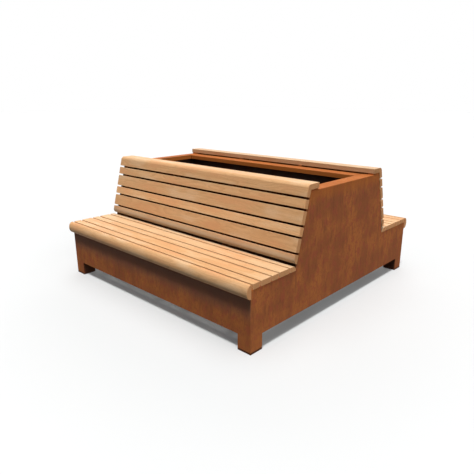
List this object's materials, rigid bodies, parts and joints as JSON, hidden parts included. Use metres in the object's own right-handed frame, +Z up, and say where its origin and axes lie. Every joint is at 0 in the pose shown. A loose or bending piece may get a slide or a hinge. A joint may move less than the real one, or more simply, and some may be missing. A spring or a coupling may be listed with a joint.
{
  "type": "bench with planter",
  "caption": "Double-sided park bench with leaning slatted backs around an open rectangular planter, hardwood boards on a rust-brown sheet-steel carcass standing on corner feet.",
  "frame": {"origin": "middle of the footprint, at the level the feet stand on", "axes": "+X along the boards, -Y towards the front seat, +Y towards the rear seat, +Z up"},
  "size_m": [2.006, 2.0766, 0.945],
  "materials": {
    "hardwood": "planed and oiled, satin",
    "weathering_steel": "rust-brown weathering patina, matte",
    "galvanised_steel": "hot-dip galvanised, dull",
    "black_liner": "matte",
    "black_plastic": "matte"
  },
  "bodies": {
    "root": {"front_nosing_board": "hardwood", "front_seat_1_board": "hardwood", "front_seat_2_board": "hardwood", "front_seat_3_board": "hardwood", "front_seat_4_board": "hardwood", "front_seat_5_board": "hardwood", "front_back_1_board": "hardwood", "front_back_2_board": "hardwood", "front_back_3_board": "hardwood", "front_back_4_board": "hardwood", "front_back_5_board": "hardwood", "front_back_6_board": "hardwood", "front_cap_board": "hardwood", "rear_nosing_board": "hardwood", "rear_seat_1_board": "hardwood", "rear_seat_2_board": "hardwood", "rear_seat_3_board": "hardwood", "rear_seat_4_board": "hardwood", "rear_seat_5_board": "hardwood", "rear_back_1_board": "hardwood", "rear_back_2_board": "hardwood", "rear_back_3_board": "hardwood", "rear_back_4_board": "hardwood", "rear_back_5_board": "hardwood", "rear_back_6_board": "hardwood", "rear_cap_board": "hardwood", "end_plate_left": "weathering_steel", "end_plate_right": "weathering_steel", "front_apron": "weathering_steel", "rear_apron": "weathering_steel", "corner_leg_front_left": "weathering_steel", "corner_leg_front_right": "weathering_steel", "corner_leg_rear_left": "weathering_steel", "corner_leg_rear_right": "weathering_steel", "planter_wall_front": "weathering_steel", "planter_wall_rear": "weathering_steel", "planter_floor": "galvanised_steel", "floor_bearer_left": "galvanised_steel", "floor_bearer_middle": "galvanised_steel", "floor_bearer_right": "galvanised_steel", "front_end_frame_left": "weathering_steel", "front_end_frame_right": "weathering_steel", "front_rib_left": "weathering_steel", "front_rib_right": "weathering_steel", "rear_end_frame_left": "weathering_steel", "rear_end_frame_right": "weathering_steel", "rear_rib_left": "weathering_steel", "rear_rib_right": "weathering_steel", "planter_liner_floor": "black_liner", "planter_liner_front": "black_liner", "planter_liner_rear": "black_liner", "planter_liner_left": "black_liner", "planter_liner_right": "black_liner", "drain_outlet_left": "black_plastic", "drain_outlet_right": "black_plastic", "front_cap_spacer_left": "weathering_steel", "front_cap_spacer_right": "weathering_steel", "rear_cap_spacer_left": "weathering_steel", "rear_cap_spacer_right": "weathering_steel"}
  },
  "joints": []
}
